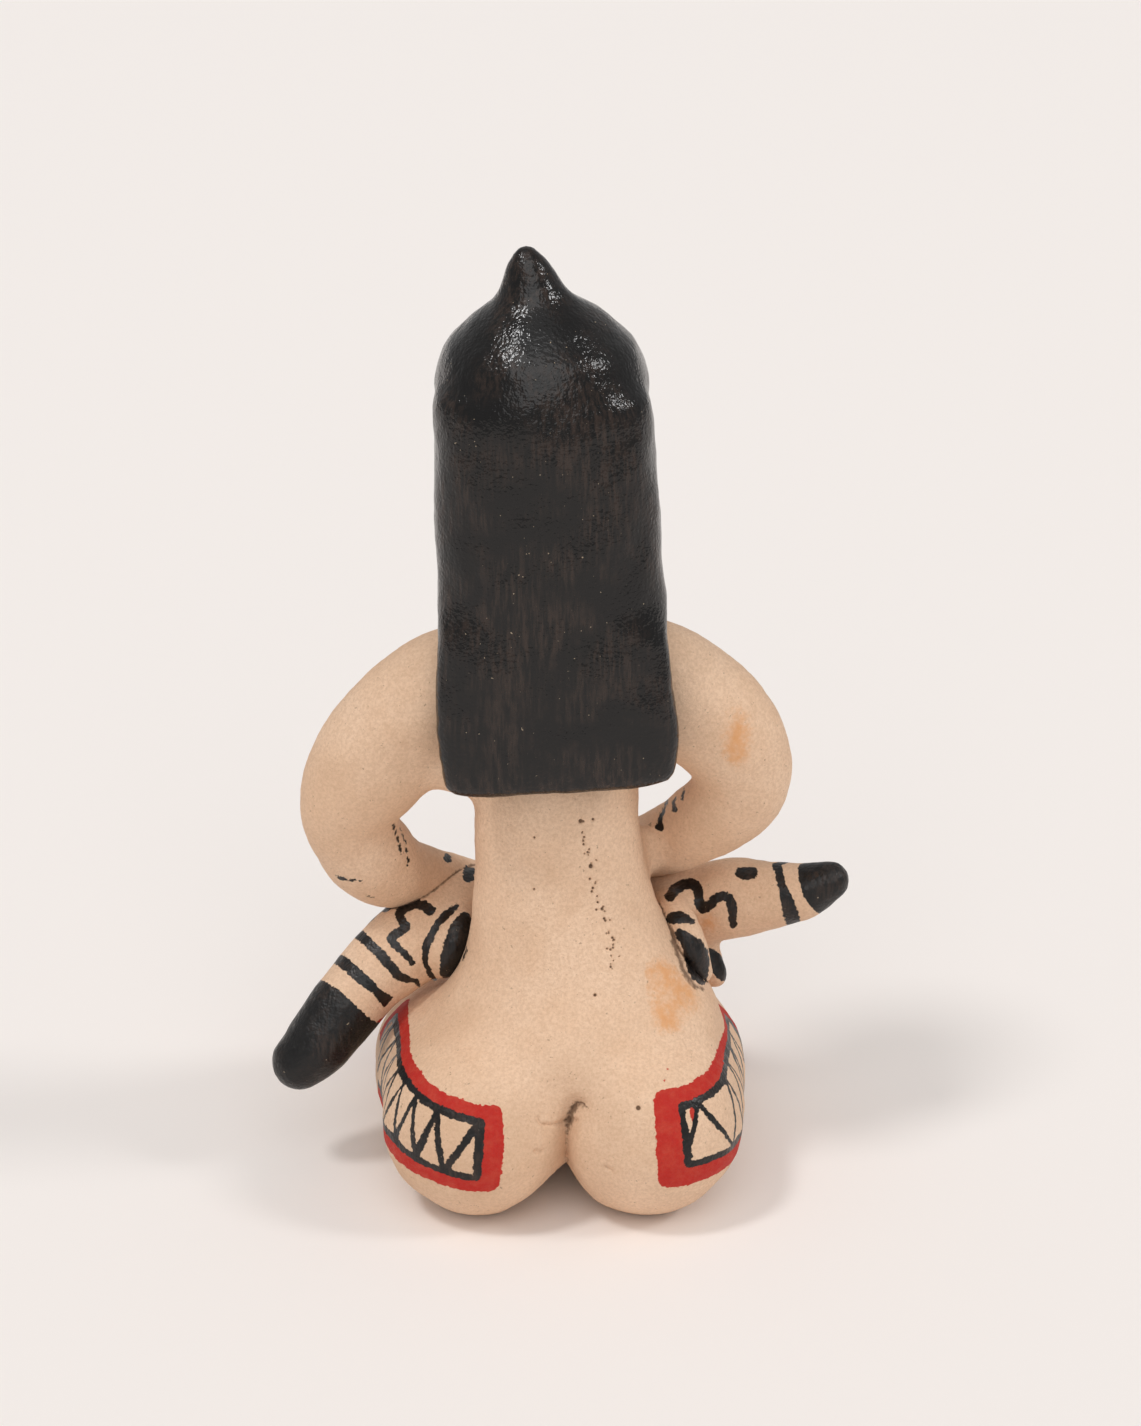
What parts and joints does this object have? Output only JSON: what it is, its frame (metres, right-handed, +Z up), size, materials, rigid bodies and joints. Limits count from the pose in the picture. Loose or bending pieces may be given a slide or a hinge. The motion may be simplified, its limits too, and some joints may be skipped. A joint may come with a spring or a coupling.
{
  "type": "ceramic doll",
  "caption": "Seated hand-modelled clay figure with long black hair and thick looped arms that hold an animal across the lap.",
  "frame": {"origin": "middle of the bounding box, on the surface that the doll sits on", "axes": "+X to the doll's own left, -Y the way the doll faces, +Z up"},
  "size_m": [0.1154, 0.0991, 0.1919],
  "materials": {
    "clay": "matte fired clay, painted by hand"
  },
  "bodies": {
    "root": {"ceramic_doll": "clay"}
  },
  "joints": []
}
